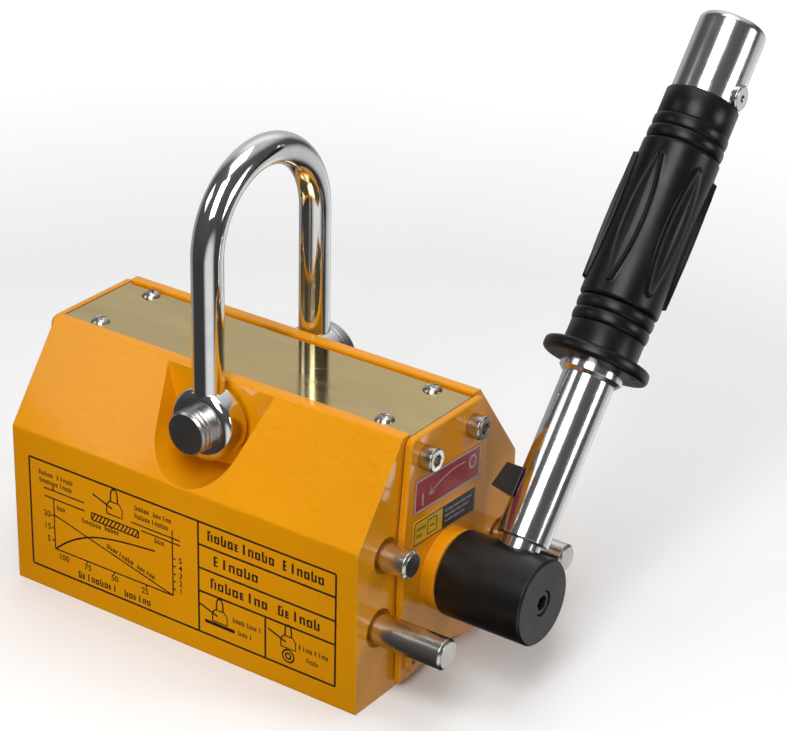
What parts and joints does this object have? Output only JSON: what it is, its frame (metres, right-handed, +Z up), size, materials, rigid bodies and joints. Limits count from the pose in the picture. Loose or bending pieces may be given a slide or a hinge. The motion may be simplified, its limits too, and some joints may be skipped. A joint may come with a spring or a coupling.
{
  "type": "permanent magnetic lifter",
  "caption": "Switchable permanent magnetic lifter: a painted magnet block with a lifting shackle on top and a chrome lever with a sliding rubber grip that turns the rotor on and off.",
  "frame": {"origin": "middle of the block's underside, on the plane of the two pole faces", "axes": "+Z up, +X along the block towards the end with the handle, -Y towards the long side with the printed data panel"},
  "size_m": [0.1996, 0.1895, 0.2049],
  "materials": {
    "body_paint": "orange-yellow enamel, glossy, slight orange peel",
    "cover_paint": "orange-yellow enamel, glossy",
    "polished_plate": "polished, warm tint",
    "plate_screw_steel": "plated, satin",
    "socket_screw_steel": "plated, bright",
    "gasket_sheet": "matte",
    "bearing_bronze": "machined",
    "seal_rubber": "matte",
    "stop_pin_chrome": "bright, turned",
    "red_label": "printed film, satin",
    "striped_label": "printed film, satin",
    "stainless": "milled, satin",
    "magnet_alloy": "nickel plated",
    "rotor_iron": "turned, oiled",
    "black_steel": "black oxide",
    "hub_black": "black satin powder coat",
    "hub_screw_steel": "black oxide",
    "handle_chrome": "mirror",
    "handle_inner_steel": "drawn, oiled",
    "grip_rubber": "satin moulded",
    "shackle_chrome": "polished, bright",
    "shackle_pin_steel": "turned"
  },
  "bodies": {
    "magnet_block": {"front_pole_block": "body_paint", "rear_pole_block": "body_paint", "lower_spacer": "stainless", "upper_spacer": "stainless", "stator_magnets": "magnet_alloy", "top_plate": "polished_plate", "top_plate_screws": "plate_screw_steel", "drive_end_cover": "cover_paint", "closed_end_cover": "cover_paint", "drive_end_gasket": "gasket_sheet", "closed_end_gasket": "gasket_sheet", "drive_cover_screws": "socket_screw_steel", "drive_foot_screws": "cover_paint", "closed_cover_screws": "socket_screw_steel", "drive_bearing_bush": "bearing_bronze", "closed_bearing_bush": "bearing_bronze", "shaft_seal": "seal_rubber", "drive_thrust_washer": "bearing_bronze", "closed_thrust_washer": "bearing_bronze", "on_stop_pin": "stop_pin_chrome", "off_stop_pin": "stop_pin_chrome", "latch_pin": "stop_pin_chrome", "position_label": "red_label", "notice_label": "striped_label"},
    "rotor_and_handle": {"front_rotor_cheek": "rotor_iron", "rear_rotor_cheek": "rotor_iron", "rotor_filler_strips": "stainless", "rotor_magnets": "magnet_alloy", "drive_journal": "rotor_iron", "closed_journal": "rotor_iron", "rotor_screws": "black_steel", "handle_hub": "hub_black", "hub_key": "black_steel", "hub_screw": "hub_screw_steel", "handle_tube": "handle_chrome", "tube_guide": "handle_inner_steel", "latch_spring": "handle_inner_steel"},
    "sliding_grip": {"grip_sleeve": "handle_chrome", "sleeve_cap": "handle_chrome", "cap_screw": "handle_chrome", "rubber_grip": "grip_rubber", "latch_rod": "handle_inner_steel", "spring_collar": "black_steel", "latch_tongue": "black_steel"},
    "shackle": {"shackle_bow": "shackle_chrome", "shackle_pin": "shackle_pin_steel"}
  },
  "joints": [
    {"name": "handle_turn", "type": "hinge", "parent": "magnet_block", "child": "rotor_and_handle", "pos_m": [0.1, 0, 0.0364], "axis": [1, 0, 0], "range_deg": [-35.4, 118.5]},
    {"name": "grip_slide", "type": "slide", "parent": "rotor_and_handle", "child": "sliding_grip", "axis": [0, 0.6401, 0.7683], "range_m": [0, 0.012], "stiffness_N_per_m": 1500, "springref_m": -0.01, "deforming": ["latch_spring"]},
    {"name": "shackle_swing", "type": "hinge", "parent": "magnet_block", "child": "shackle", "pos_m": [0, 0, 0.0794], "axis": [0, 1, 0], "range_deg": [-50, 50]}
  ]
}
